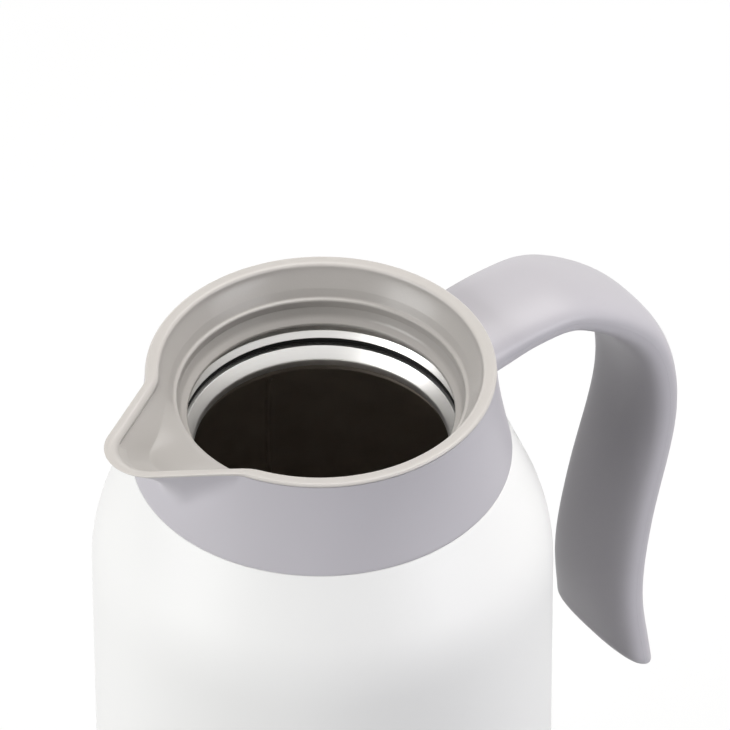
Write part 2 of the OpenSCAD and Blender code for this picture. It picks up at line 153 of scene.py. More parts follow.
LEDGE_R = SEAT_R - 2.4
WEB_R = NECK_OUT_R + 0.6
SKIRT_R = NECK_OUT_R + FIT
SKIRT_OUT_R = SKIRT_R + 2.0
FLANGE_R = SKIRT_R + 4.4

# coated liner and the bead of its weld
LINER_T = 0.8
LINER_INSET = SHELL_T + 4.0
LINER_JOIN_Z = 24.0
LINER_KNEE_Z = LEDGE_Z - 12.0
LINER_KNEE_IN_Z = LINER_KNEE_Z - 1.6 * LINER_T
KNEE_ROUND = 5.0
KNEE_IN_ROUND = 4.5
THROAT_R = NECK_R + 1.2
THROAT_Z = NECK_BOTTOM_Z - 1.6
SEAM_A = math.radians(70.4)
BEAD_R = 0.9
BEAD_SIDES = 12

# picture geometry
VIEW_AZIMUTH = math.radians(-34.35)
VIEW_ELEVATION = math.radians(40.7)
VIEW_DISTANCE = 2.9
SENSOR = 36.0
IMAGE = 730.0
FOCAL_PX = 10000.0
RIM_CENTRE_PX = (320.9, 368.4)
ROLL = -0.0047


# camera
def make_camera():
    """Camera that looks down on the rim, framed by where the rim's centre lies in the picture."""
    back = Vector((math.sin(VIEW_AZIMUTH) * math.cos(VIEW_ELEVATION),
                   -math.cos(VIEW_AZIMUTH) * math.cos(VIEW_ELEVATION), math.sin(VIEW_ELEVATION)))
    right = Vector((math.cos(VIEW_AZIMUTH), math.sin(VIEW_AZIMUTH), 0))
    up = back.cross(right)
    rim = Vector((0, 0, RIM_H * MM))
    pixel = VIEW_DISTANCE / FOCAL_PX
    across, down = IMAGE / 2 - RIM_CENTRE_PX[0], IMAGE / 2 - RIM_CENTRE_PX[1]
    aim = rim + right * across * pixel - up * down * pixel
    data = bpy.data.cameras.new("camera")
    data.sensor_width = SENSOR
    data.lens = SENSOR * FOCAL_PX / IMAGE
    data.clip_start = 0.1
    data.clip_end = 30
    cam = bpy.data.objects.new("camera", data)
    cam.location = rim + back * VIEW_DISTANCE
    cam.rotation_mode = "QUATERNION"
    cam.rotation_quaternion = (aim - cam.location).to_track_quat("-Z", "Y") @ Quaternion((0, 0, 1), ROLL)
    scene.collection.objects.link(cam)
    scene.camera = cam


make_camera()


# mesh helpers
def arc(c, r, a0, a1, n):
    """Points of an arc round c, angles in degrees."""
    turns = [math.radians(a0 + (a1 - a0) * i / n) for i in range(n + 1)]
    return [(c[0] + r * math.cos(a), c[1] + r * math.sin(a)) for a in turns]


def softened(points, steps=5):
    """Closed profile of (radius, height, rounding) corners, each rounded with an arc."""
    out = []
    for i, (x, z, soft) in enumerate(points):
        p = Vector((x, z))
        if not soft:
            out.append(p)
            continue
        a = Vector(points[i - 1][:2]) - p
        b = Vector(points[(i + 1) % len(points)][:2]) - p
        da, db = a.normalized(), b.normalized()
        half = da.angle(db) / 2
        reach = min(soft / math.tan(half), a.length * 0.49, b.length * 0.49)
        soft = reach * math.tan(half)
        centre = p + (da + db).normalized() * (soft / math.sin(half))
        start, end = p + da * reach - centre, p + db * reach - centre
        turn = start.angle_signed(end)
        for k in range(steps + 1):
            t = -turn * k / steps
            out.append(centre + Vector((start.x * math.cos(t) - start.y * math.sin(t),
                                        start.x * math.sin(t) + start.y * math.cos(t))))
    return [(p.x, p.y) for p in out]


def finished(bm, name, smooth_angle=35):
    """Object of a bmesh with soft shading, sharp where faces meet steeply."""
    bmesh.ops.remove_doubles(bm, verts=bm.verts, dist=1e-7)
    bmesh.ops.recalc_face_normals(bm, faces=bm.faces)
    for f in bm.faces:
        f.smooth = True
    for e in bm.edges:
        if len(e.link_faces) == 2 and e.calc_face_angle(0) > math.radians(smooth_angle):
            e.smooth = False
    mesh = bpy.data.meshes.new(name)
    bm.to_mesh(mesh)
    bm.free()
    obj = bpy.data.objects.new(name, mesh)
    scene.collection.objects.link(obj)
    return obj


def turned(bm, profile, steps):
    """Closed profile of (radius, height) points turned round the carafe's axis."""
    verts = [bm.verts.new((r * MM, 0, z * MM)) for r, z in profile]
    edges = [bm.edges.new(pair) for pair in zip(verts, verts[1:] + verts[:1])]
    bmesh.ops.spin(bm, geom=verts + edges, cent=(0, 0, 0), axis=(0, 0, 1), angle=2 * math.pi,
                   steps=steps, use_merge=True)


def spun(name, profile, steps=TURN_STEPS):
    """Finished object of a turned profile."""
    bm = bmesh.new()
    turned(bm, profile, steps)
    return finished(bm, name)


def drawn(bm, rings, loop):
    """Skin drawn from ring to ring by extrusion; loop leads the last ring back to the first."""
    made = bmesh.ops.create_circle(bm, segments=len(rings[0]), radius=1)["verts"]
    order = {v: i for i, v in enumerate(made)}
    for v, i in order.items():
        v.co = Vector(rings[0][i]) * MM
    edge = first = list({e for v in made for e in v.link_edges})
    for ring in rings[1:] + (rings[:1] if loop else []):
        geom = bmesh.ops.extrude_edge_only(bm, edges=edge)["geom"]
        after = {}
        for v in (g for g in geom if isinstance(g, bmesh.types.BMVert)):
            after.update({v: order[e.other_vert(v)] for e in v.link_edges if e.other_vert(v) in order})
        for v, i in after.items():
            v.co = Vector(ring[i]) * MM
        edge = [g for g in geom if isinstance(g, bmesh.types.BMEdge) and all(v in after for v in g.verts)]
        order = after
    return first, edge


# painted steel body
def body_curve(inset, z0, z1, steps=24):
    """Wall and shoulder, inset from the painted surface, from height z0 to z1."""
    r = SHOULDER_R - inset
    drop = z1 - BEND_Z - r * math.sin(SHOULDER_A)
    cone = BEND_X + r * math.cos(SHOULDER_A) - drop * math.tan(SHOULDER_A)
    bend = arc((BEND_X, BEND_Z), r, 0, math.degrees(SHOULDER_A), steps)
    return [(BODY_R - inset, z0)] + bend + [(cone, z1)]


def make_body_shell():
    """Painted shell from its turned-in bottom edge over the shoulder to the neck, at sheet thickness."""
    foot = (BODY_R - BOTTOM_R, STAND_H + BOTTOM_R)
    low = STAND_H + 2 * BOTTOM_R
    outside = body_curve(0, low, SEAT_Z)
    inside = body_curve(SHELL_T, low, SEAT_Z - SHELL_T)
    top = outside.pop()
    lip = softened([(*outside[-1], 0), (*top, SEAT_ROUND), (SEAT_R, SEAT_Z, FOLD_ROUND),
                    (LEDGE_R, LEDGE_Z, LEDGE_ROUND), (NECK_OUT_R, LEDGE_Z, NECK_FOLD_ROUND),
                    (NECK_OUT_R, LIP_Z, CUT_ROUND), (NECK_IN_R, LIP_Z, CUT_ROUND),
                    (NECK_IN_R, LEDGE_Z - SHELL_T, FOLD_ROUND),
                    (LEDGE_R - SHELL_T, LEDGE_Z - SHELL_T, FOLD_ROUND),
                    (SEAT_R - SHELL_T, SEAT_Z - SHELL_T, FOLD_ROUND), (*inside[-1], 0)])
    edge = BODY_R - TURN_IN
    profile = ([(edge, STAND_H)] + arc(foot, BOTTOM_R, -90, 0, BOTTOM_STEPS)
               + outside + lip[1:-1] + inside[::-1]
               + arc(foot, BOTTOM_R - SHELL_T, 0, -90, BOTTOM_STEPS) + [(edge, STAND_H + SHELL_T)])
    return spun("body_shell", profile, BODY_TURN_STEPS)


def make_liner_wall():
    """Coated liner with the raised bead of its weld up the wall and over the shoulder."""
    outer = body_curve(LINER_INSET, LINER_JOIN_Z, LINER_KNEE_Z)
    inner = body_curve(LINER_INSET + LINER_T, LINER_JOIN_Z, LINER_KNEE_IN_Z)
    roof = softened([(*outer[-2], 0), (*outer[-1], KNEE_ROUND), (THROAT_R + LINER_T, THROAT_Z, FOLD_ROUND),
                     (THROAT_R + LINER_T, NECK_BOTTOM_Z, 0), (THROAT_R, NECK_BOTTOM_Z, 0),
                     (THROAT_R, THROAT_Z - LINER_T, NECK_FOLD_ROUND), (*inner[-1], KNEE_IN_ROUND),
                     (*inner[-2], 0)])
    bm = bmesh.new()
    turned(bm, outer[:-1] + roof[1:-1] + inner[-2::-1], TURN_STEPS)
    out = Vector((math.cos(SEAM_A), math.sin(SEAM_A), 0))
    side = Vector((-out.y, out.x, 0))
    line = inner[:-1]
    rings = []
    for i, (r, z) in enumerate(line):
        a, b = line[max(i - 1, 0)], line[min(i + 1, len(line) - 1)]
        run = Vector((b[0] - a[0], b[1] - a[1])).normalized()
        facing = out * run.y - Vector((0, 0, run.x))
        centre = out * r + Vector((0, 0, z))
        turns = [2 * math.pi * k / BEAD_SIDES for k in range(BEAD_SIDES)]
        rings.append([centre + (facing * math.cos(t) + side * math.sin(t)) * BEAD_R for t in turns])
    ends = drawn(bm, rings, False)
    bmesh.ops.holes_fill(bm, edges=ends[0] + ends[1], sides=0)
    return finished(bm, "liner_wall")


def make_steel_neck():
    """Bare steel mouth: flared lead-in, groove, bright slope and sealing land."""
    return spun("steel_neck", softened([
        (FLARE_R, LIP_Z, CUT_ROUND), (FLARE_R, FLARE_Z, FOLD_ROUND),
        (LEAD_R, GROOVE_TOP_Z + GROOVE_LIP, GROOVE_LIP_ROUND), (LEAD_R, GROOVE_TOP_Z, 0),
        (GROOVE_R, GROOVE_TOP_Z, 0), (GROOVE_R, SLOPE_TOP_Z, 0),
        (SLOPE_R, SLOPE_TOP_Z, SLOPE_ROUND), (NECK_R, LAND_TOP_Z, LAND_ROUND),
        (NECK_R, NECK_BOTTOM_Z, NECK_BOTTOM_ROUND), (RING_OUT_R, NECK_BOTTOM_Z, CUT_ROUND),
        (RING_OUT_R, LIP_Z, CUT_ROUND)]))


def make_groove_seal():
    """Silicone ring with a rounded face in the neck's groove."""
    half = (GROOVE_TOP_Z - SLOPE_TOP_Z) / 2 - SEAL_GAP
    mid = (GROOVE_TOP_Z + SLOPE_TOP_Z) / 2
    face = arc((LEAD_R + half * SEAL_SET_IN, mid), half, 90, 270, SEAL_STEPS)
    back = GROOVE_R - SEAL_GAP
    return spun("groove_ring", face + [(back, mid - half), (back, mid + half)])


# collar, spout and funnel
def rim_outline(inset, tip=18, side=8, fillet=14, rest=84):
    """Outline of the rim with its spout toward -X, inset from the outside."""
    spout_cx = RIM_R + SPOUT_REACH - SPOUT_TIP_R
    tip_r = SPOUT_TIP_R - inset * SPOUT_W / RIM_W
    bend_r = SPOUT_FILLET + inset
    reach = RIM_R - inset + bend_r
    turn = math.asin((spout_cx * math.sin(SPOUT_A) + tip_r + bend_r) / reach) - SPOUT_A
    a, t = math.degrees(SPOUT_A), math.degrees(turn)
    half = arc((spout_cx, 0), tip_r, 0, 90 - a, tip)
    bend = arc((reach * math.cos(turn), reach * math.sin(turn)), bend_r, 270 - a, 180 + t, fillet)
    start, end = Vector(half[-1]), Vector(bend[0])
    half += [tuple(start.lerp(end, i / side)) for i in range(1, side)]
    half += bend + arc((0, 0), RIM_R - inset, t, 180, rest)[1:]
    return [(-x, -y) for x, y in half] + [(-x, y) for x, y in half[-2:0:-1]]


def collar_out(d):
    """Radius of the collar's round part at depth d under the rim."""
    return RIM_R + (COLLAR_R - RIM_R) * (max(d, 0) / COLLAR_H) ** COLLAR_FLARE


def beak_left(out, d):
    """Share of the beak left at depth d; a part of it that reaches less far out ends less deep."""
    depth = SPOUT_DROP * (max(out, FIT) / SPOUT_REACH) ** BEAK_FADE
    return max(0, 1 - d / depth) ** SPOUT_DRAW


def wall_ring(inset, d):
    """Ring of the collar's wall, inset from its outside, at depth d under the rim."""
    ring = []
    for x, y in rim_outline(inset):
        r = math.hypot(x, y)
        out = r - RIM_R + inset
        q = (collar_out(d) - inset + beak_left(out, d) * out) / r
        ring.append((x * q, y * q, RIM_H - d))
    return ring


def round_ring(r, d):
    """Circle with the same directions as the rim's outline."""
    return [(x * r / math.hypot(x, y), y * r / math.hypot(x, y), RIM_H - d) for x, y in rim_outline(0)]


def funnel_ring(step, out, d):
    """Ring on the funnel's slope: step 0 is the rim's inner edge, 1 the crease, 2 the lower edge.

    The crease lies deeper in the spout than round the mouth.
    """
    rim_in, tip_in = RIM_R - RIM_W, RIM_R + SPOUT_REACH - SPOUT_W
    ring = []
    for x, y in rim_outline(RIM_W):
        r = math.hypot(x, y)
        tip = max(0, (r - rim_in) / (tip_in - rim_in))
        crease = CREASE_SHARE + (CREASE_TIP - CREASE_SHARE) * tip ** 3
        share = crease + (1 - crease) * (step - 1) if step > 1 else crease * step
        q = (r + (EDGE_R - r) * share + out) / r
        dip = CREASE_TIP_DIP * tip * (1 - abs(step - 1))
        ring.append((x * q, y * q, RIM_H - d - dip))
    return ring


def rounding(inset, side, radius, steps=6):
    """(inset, depth) pairs over a rounded top edge: side 1 rises from outside, -1 falls to the inside."""
    turns = [math.radians(90 * k / steps) for k in range(steps + 1)]
    pairs = [(radius * (1 - math.cos(a)), radius * (1 - math.sin(a))) for a in turns]
    return [(inset + i, d) for i, d in pairs] if side > 0 else [(inset - i, d) for i, d in pairs[::-1]]


def make_collar():
    """Collar with the outside of the spout and the web that is clamped on the neck."""
    top_d = CAP_T + SEAM_GAP
    web_d, web_low_d = RIM_H - WEB_TOP_Z, RIM_H - WEB_Z
    height = COLLAR_H - top_d
    rings = [wall_ring(COLLAR_FOOT_ROUND, COLLAR_H),
             wall_ring(COLLAR_FOOT_MID, COLLAR_H - COLLAR_FOOT_MID),
             wall_ring(0, COLLAR_H - COLLAR_FOOT_ROUND)]
    rings += [wall_ring(0, top_d + height * k / COLLAR_LEVELS) for k in range(COLLAR_LEVELS - 1, 0, -1)]
    rings += [wall_ring(0, top_d + EDGE_SOFT), wall_ring(EDGE_SOFT, top_d)]
    rings += [wall_ring(COLLAR_T, top_d + (web_d - top_d) * k / WEB_LEVELS) for k in range(WEB_LEVELS + 1)]
    rings += [round_ring(WEB_R, web_d), round_ring(WEB_R, web_low_d)]
    rings += [wall_ring(COLLAR_T, web_low_d), wall_ring(COLLAR_T, COLLAR_H)]
    bm = bmesh.new()
    drawn(bm, rings, True)
    return finished(bm, "collar_moulding", smooth_angle=40)


def make_funnel():
    """The rim's cap, the spout's trough and the slope to the mouth, in one moulding."""
    crease = RIM_ROUND + (FUNNEL_DROP - RIM_ROUND) * CREASE_SHARE + CREASE_DIP
    foot = FUNNEL_DROP + FUNNEL_FOOT
    shares = [k / FUNNEL_STEPS for k in range(1, FUNNEL_STEPS)]
    rings = [wall_ring(EDGE_SOFT, CAP_T), wall_ring(0, CAP_T - EDGE_SOFT)]
    over = rounding(0, 1, RIM_OUT_ROUND) + rounding(RIM_W, -1, RIM_ROUND)
    rings += [wall_ring(i, d) for i, d in over]
    for t in (*shares, *NEAR_CREASE_ABOVE):
        rings.append(funnel_ring(t, 0, RIM_ROUND + (crease - RIM_ROUND) * t ** WALL_EASE))
    for t in (*NEAR_CREASE_BELOW, *shares, 1):
        rings.append(funnel_ring(1 + t, EDGE_LEDGE * t, crease + (FUNNEL_DROP - EDGE_RISE - crease) * t))
    lip = arc((EDGE_R + LIP_ROUND, RIM_H - FUNNEL_DROP - LIP_ROUND), LIP_ROUND, 90, 180, FUNNEL_STEPS)
    rings += [round_ring(r, RIM_H - z) for r, z in lip]
    rings += [round_ring(EDGE_R, foot), round_ring(EDGE_R + FUNNEL_FOOT, foot),
              round_ring(EDGE_R + FUNNEL_FOOT, foot - FUNNEL_FOOT / 2),
              funnel_ring(1, COLLAR_T, crease), wall_ring(COLLAR_T + SEAM_GAP, CAP_T)]
    bm = bmesh.new()
    drawn(bm, rings, True)
    return finished(bm, "funnel_moulding", smooth_angle=40)


def make_mouth_ring():
    """Ring with a bowed face toward the mouth, a skirt on the neck and a flange under the funnel."""
    profile = softened([
        (EDGE_R + RING_STEP, RING_TOP_Z, 0), (BOWL_R, BOWL_Z, BOWL_ROUND),
        (MOUTH_R + RING_LEAD, LIP_UNDER_Z + RING_LEAD_H, RING_LEAD_ROUND),
        (MOUTH_R, LIP_UNDER_Z, RING_ROUND), (SKIRT_R, LIP_UNDER_Z, 0),
        (SKIRT_R, WEB_TOP_Z, CUT_ROUND), (SKIRT_OUT_R, WEB_TOP_Z, CUT_ROUND),
        (SKIRT_OUT_R, FLANGE_Z, RING_ROUND), (FLANGE_R, FLANGE_Z, RING_ROUND),
        (FLANGE_R, RING_TOP_Z, RING_ROUND)])
    return spun("mouth_ring_moulding", profile)


# handle
HALF_GAP = 0.012
HANDLE = dict(reach=114.2, reach_drop=62.0, arch_x=RIM_R + 16.7, arch_drop=9.6, root_drop=12.0,
              waist_x=101.2, waist_drop=128.0, tail_drop=152.6, tail_flick=2.4,
              tail_slant=4.6, slant_from=0.75, tail_round=3.2, tail_shrink=0.3, tail_narrowing=0.28,
              thick=13.4, root_thick=16.2, root_fade=0.193,
              root_w=33.5, tail_w=42.0, widening=2.9, square=2.45)
# share of the way across and down between two named points of the handle
CROWN = (0.375, 0.05)
BROW = (0.867, 0.428)
HOLLOW = (0.69, 0.581)
SPAN = 21
FIRST = 6
EVENED = 24
FLAT_STEPS = 12
TAIL_STEPS = 8
ROOT_CAP = (0.04, 0.2, 0.4, 0.6, 0.8, 1)
TAIL_CAP = (0.7, 0.35, 0.04)


def handle_path():
    """Points of the handle's middle in the XZ plane, from the root to the tail."""
    h = HANDLE
    arch = Vector((h["arch_x"], RIM_H - h["arch_drop"]))
    reach = Vector((h["reach"], RIM_H - h["reach_drop"]))
    waist = Vector((h["waist_x"], RIM_H - h["waist_drop"]))

    def between(a, b, across, down):
        return a.x + (b.x - a.x) * across, a.y + (b.y - a.y) * down

    return [(RIM_R, RIM_H - h["root_drop"]), arch, between(arch, reach, *CROWN),
            between(arch, reach, *BROW), reach, between(reach, waist, *HOLLOW), waist,
            (waist.x + h["tail_flick"], RIM_H - h["tail_drop"])]


def path_point(v, i, t):
    """Point of a smooth curve through v, at span i and share t."""
    b, c = Vector(v[i]), Vector(v[i + 1])
    a = Vector(v[i - 1]) if i > 0 else 2 * b - c
    d = Vector(v[i + 2]) if i + 2 < len(v) else 2 * c - b
    square, cube = 2 * a - 5 * b + 4 * c - d, 3 * b - 3 * c + d - a
    return (2 * b + (c - a) * t + square * t ** 2 + cube * t ** 3) / 2


PATH = handle_path()
STATIONS = [path_point(PATH, i, k / SPAN) for i in range(len(PATH) - 1) for k in range(SPAN)]
STATIONS.append(Vector(PATH[-1]))
LAST = len(STATIONS) - 1
for _ in range(EVENED):
    STATIONS[1:-1] = [(a + 2 * b + c) / 4 for a, b, c in zip(STATIONS, STATIONS[1:], STATIONS[2:])]


def along(i):
    """Direction of the handle's path at station i."""
    return (STATIONS[min(i + 1, LAST)] - STATIONS[max(i - 1, 0)]).normalized()


def handle_ring(side, i, small, push, steps=40):
    """One section of a handle half: side +1 is the outer half, -1 the half that faces the body."""
    h = HANDLE
    s = i / LAST
    t = along(i)
    out = Vector((-t.y, t.x))
    half_t = (h["thick"] + (h["root_thick"] - h["thick"]) * max(0, 1 - s / h["root_fade"]) ** 2) / 2
    half_w = (h["root_w"] + (h["tail_w"] - h["root_w"]) * s ** h["widening"]) / 2
    lean = h["tail_slant"] * max(0, (s - h["slant_from"]) / (1 - h["slant_from"])) ** 2
    ring = []
    turns = [math.radians(180 * k / steps - 90) for k in range(steps + 1)]
    points = [(max(math.cos(a), 0), math.sin(a)) for a in turns]
    points = [(c ** (2 / h["square"]), math.copysign(abs(q) ** (2 / h["square"]), q)) for c, q in points]
    for thick, wide in points + [(0, 1 - 2 * k / FLAT_STEPS) for k in range(1, FLAT_STEPS)]:
        u = max(thick * half_t * small, HALF_GAP) * side
        w = side * wide * half_w * (1 - (1 - small) * h["tail_narrowing"])
        p = STATIONS[i] + out * u + t * (push + lean * u / half_t)
        ring.append((p.x, w, p.y))
    return ring


def collar_x(y, z):
    """How far out the collar's surface lies beside the handle's middle plane."""
    r = collar_out(RIM_H - z) + SEAM_GAP
    return math.sqrt(r * r - y * y)


def on_collar(ring, t):
    """Ring slid along the direction t onto the collar's surface."""
    placed = []
    for x, y, z in ring:
        low = z - (x - collar_x(y, z)) * t.y / t.x
        placed.append((collar_x(y, low), y, low))
    return placed


def shrunk(ring, f):
    """Ring drawn in toward its own middle."""
    m = sum((Vector(p) for p in ring), Vector()) / len(ring)
    return [tuple(m + (Vector(p) - m) * f) for p in ring]


def make_handle_half(name, side):
    """Half of the handle, from its root on the collar to its rounded tail."""
    root = handle_ring(side, FIRST, 1, 0)
    rings = [on_collar(shrunk(root, f), along(FIRST)) for f in ROOT_CAP]
    rings += [handle_ring(side, i, 1, 0) for i in range(FIRST, LAST + 1)]
    for k in range(1, TAIL_STEPS + 1):
        a = math.radians(90 * k / TAIL_STEPS)
        small = 1 - HANDLE["tail_shrink"] * (1 - math.cos(a))
        rings.append(handle_ring(side, LAST, small, HANDLE["tail_round"] * math.sin(a)))
    rings += [shrunk(rings[-1], f) for f in TAIL_CAP]
    bm = bmesh.new()
    ends = drawn(bm, rings, False)
    bmesh.ops.holes_fill(bm, edges=ends[0] + ends[1], sides=0)
    return finished(bm, name, smooth_angle=50)


# node groups shared by the materials
def node_group(name, inputs, outputs):
    """Empty shader group with named sockets, and its input and output nodes."""
    tree = bpy.data.node_groups.new(name, "ShaderNodeTree")
    for label, kind, value in inputs:
        socket = tree.interface.new_socket(label, in_out="INPUT", socket_type=kind)
        if value is not None:
            socket.default_value = value
    for label, kind in outputs:
        tree.interface.new_socket(label, in_out="OUTPUT", socket_type=kind)
    return tree, tree.nodes.new("NodeGroupInput"), tree.nodes.new("NodeGroupOutput")


def make_tone_group():
    """Colour with a soft mottle, as pigment and film thickness give it."""
    tree, inp, out = node_group(
        "surface_tone",
        [("Vector", "NodeSocketVector", None), ("Colour", "NodeSocketColor", (0.8, 0.8, 0.8, 1)),
         ("Scale", "NodeSocketFloat", 40.0), ("Spread", "NodeSocketFloat", 0.05)],
        [("Colour", "NodeSocketColor")])
    noise = tree.nodes.new("ShaderNodeTexNoise")
    noise.inputs["Detail"].default_value = 4
    shift = tree.nodes.new("ShaderNodeMath")
    shift.operation = "SUBTRACT"
    shift.inputs[1].default_value = 0.5
    span = tree.nodes.new("ShaderNodeMath")
    span.operation = "MULTIPLY_ADD"
    span.inputs[2].default_value = 1.0
    tint = tree.nodes.new("ShaderNodeVectorMath")
    tint.operation = "SCALE"
    link = tree.links.new
    link(inp.outputs["Vector"], noise.inputs["Vector"])
    link(inp.outputs["Scale"], noise.inputs["Scale"])
    link(noise.outputs["Fac"], shift.inputs[0])
    link(shift.outputs[0], span.inputs[0])
    link(inp.outputs["Spread"], span.inputs[1])
    link(inp.outputs["Colour"], tint.inputs[0])
    link(span.outputs[0], tint.inputs["Scale"])
    link(tint.outputs[0], out.inputs["Colour"])
    return tree


def make_grain_group():
    """Height of a fine moulded or sprayed grain, and the roughness that goes with it."""
    tree, inp, out = node_group(
        "surface_grain",
        [("Vector", "NodeSocketVector", None), ("Scale", "NodeSocketFloat", 900.0),
         ("Roughness", "NodeSocketFloat", 0.4), ("Spread", "NodeSocketFloat", 0.08)],
        [("Height", "NodeSocketFloat"), ("Roughness", "NodeSocketFloat")])
    fine = tree.nodes.new("ShaderNodeTexNoise")
    fine.inputs["Detail"].default_value = 3
    broad = tree.nodes.new("ShaderNodeTexNoise")
    broad.inputs["Scale"].default_value = 28
    broad.inputs["Detail"].default_value = 2
    centre = tree.nodes.new("ShaderNodeMath")
    centre.operation = "SUBTRACT"
    centre.inputs[1].default_value = 0.5
    rough = tree.nodes.new("ShaderNodeMath")
    rough.operation = "MULTIPLY_ADD"
    link = tree.links.new
    link(inp.outputs["Vector"], fine.inputs["Vector"])
    link(inp.outputs["Scale"], fine.inputs["Scale"])
    link(inp.outputs["Vector"], broad.inputs["Vector"])
    link(broad.outputs["Fac"], centre.inputs[0])
    link(centre.outputs[0], rough.inputs[0])
    link(inp.outputs["Spread"], rough.inputs[1])
    link(inp.outputs["Roughness"], rough.inputs[2])
    link(fine.outputs["Fac"], out.inputs["Height"])
    link(rough.outputs[0], out.inputs["Roughness"])
    return tree


def make_turning_group():
    """Fine rings of a turned or drawn steel surface, running round the axis."""
    tree, inp, out = node_group(
        "turning_marks",
        [("Vector", "NodeSocketVector", None), ("Pitch", "NodeSocketFloat", 2600.0),
         ("Roughness", "NodeSocketFloat", 0.22), ("Spread", "NodeSocketFloat", 0.12)],
        [("Height", "NodeSocketFloat"), ("Roughness", "NodeSocketFloat")])
    split = tree.nodes.new("ShaderNodeSeparateXYZ")
    squash = tree.nodes.new("ShaderNodeMath")
    squash.operation = "MULTIPLY"
    join = tree.nodes.new("ShaderNodeCombineXYZ")
    join.inputs["X"].default_value = 0.37
    lines = tree.nodes.new("ShaderNodeTexNoise")
    lines.inputs["Scale"].default_value = 1
    lines.inputs["Detail"].default_value = 2
    centre = tree.nodes.new("ShaderNodeMath")
    centre.operation = "SUBTRACT"
    centre.inputs[1].default_value = 0.5
    rough = tree.nodes.new("ShaderNodeMath")
    rough.operation = "MULTIPLY_ADD"
    link = tree.links.new
    link(inp.outputs["Vector"], split.inputs[0])
    link(split.outputs["Z"], squash.inputs[0])
    link(inp.outputs["Pitch"], squash.inputs[1])
    link(squash.outputs[0], join.inputs["Z"])
    link(join.outputs[0], lines.inputs["Vector"])
    link(lines.outputs["Fac"], centre.inputs[0])
    link(centre.outputs[0], rough.inputs[0])
    link(inp.outputs["Spread"], rough.inputs[1])
    link(inp.outputs["Roughness"], rough.inputs[2])
    link(lines.outputs["Fac"], out.inputs["Height"])
    link(rough.outputs[0], out.inputs["Roughness"])
    return tree


def make_painted_highlight_group():
    """Painted highlight: colour that lightens above a height, standing in for the light that falls on an
    upper edge.
    """
    tree, inp, out = node_group(
        "painted_rim_highlight",
        [("Vector", "NodeSocketVector", None), ("Colour", "NodeSocketColor", (0.8, 0.8, 0.8, 1)),
         ("Start", "NodeSocketFloat", 1.0), ("End", "NodeSocketFloat", 2.0),
         ("Lift", "NodeSocketFloat", 0.1)],
        [("Colour", "NodeSocketColor")])
    split = tree.nodes.new("ShaderNodeSeparateXYZ")
    height = tree.nodes.new("ShaderNodeMapRange")
    height.interpolation_type = "SMOOTHSTEP"
    gain = tree.nodes.new("ShaderNodeMath")
    gain.operation = "MULTIPLY_ADD"
    gain.inputs[2].default_value = 1.0
    tint = tree.nodes.new("ShaderNodeVectorMath")
    tint.operation = "SCALE"
    link = tree.links.new
    link(inp.outputs["Vector"], split.inputs[0])
    link(split.outputs["Z"], height.inputs["Value"])
    link(inp.outputs["Start"], height.inputs["From Min"])
    link(inp.outputs["End"], height.inputs["From Max"])
    link(height.outputs["Result"], gain.inputs[0])
    link(inp.outputs["Lift"], gain.inputs[1])
    link(inp.outputs["Colour"], tint.inputs[0])
    link(gain.outputs[0], tint.inputs["Scale"])
    link(tint.outputs[0], out.inputs["Colour"])
    return tree


TONE = make_tone_group()
# group that paints a highlight on upper edges, lighter toward the top
PAINTED_HIGHLIGHT = make_painted_highlight_group()
GRAIN = make_grain_group()
TURNING = make_turning_group()


def place(mat, tree, vector, **values):
    """A node group in a material, fed with object coordinates."""
    node = mat.node_tree.nodes.new("ShaderNodeGroup")
    node.node_tree = tree
    mat.node_tree.links.new(vector, node.inputs["Vector"])
    for label, value in values.items():
        node.inputs[label].default_value = value
    return node


def surface(name, colour, tone, grain, bump, sockets, grain_tree=None, rim_highlight=None):
    """Principled material: toned colour, grain in roughness and normal, constants on the shader."""
    mat = bpy.data.materials.new(name)
    mat.use_nodes = True
    nodes, link = mat.node_tree.nodes, mat.node_tree.links.new
    shader = nodes["Principled BSDF"]
    coords = nodes.new("ShaderNodeTexCoord").outputs["Object"]
    toned = place(mat, TONE, coords, Colour=(*colour, 1), **tone)
    grained = place(mat, grain_tree or GRAIN, coords, **grain)
    relief = nodes.new("ShaderNodeBump")
    relief.inputs["Strength"].default_value = bump[0]
    relief.inputs["Distance"].default_value = bump[1]
    # painted highlight: the colour is lightened toward the top, standing in for the light that falls there
    if rim_highlight:
        highlighted = place(mat, PAINTED_HIGHLIGHT, coords, **rim_highlight)
        link(toned.outputs["Colour"], highlighted.inputs["Colour"])
        toned = highlighted
    link(toned.outputs["Colour"], shader.inputs["Base Color"])
    link(grained.outputs["Roughness"], shader.inputs["Roughness"])
    link(grained.outputs["Height"], relief.inputs["Height"])
    link(relief.outputs["Normal"], shader.inputs["Normal"])
    for label, value in sockets.items():
        shader.inputs[label].default_value = value
    return mat


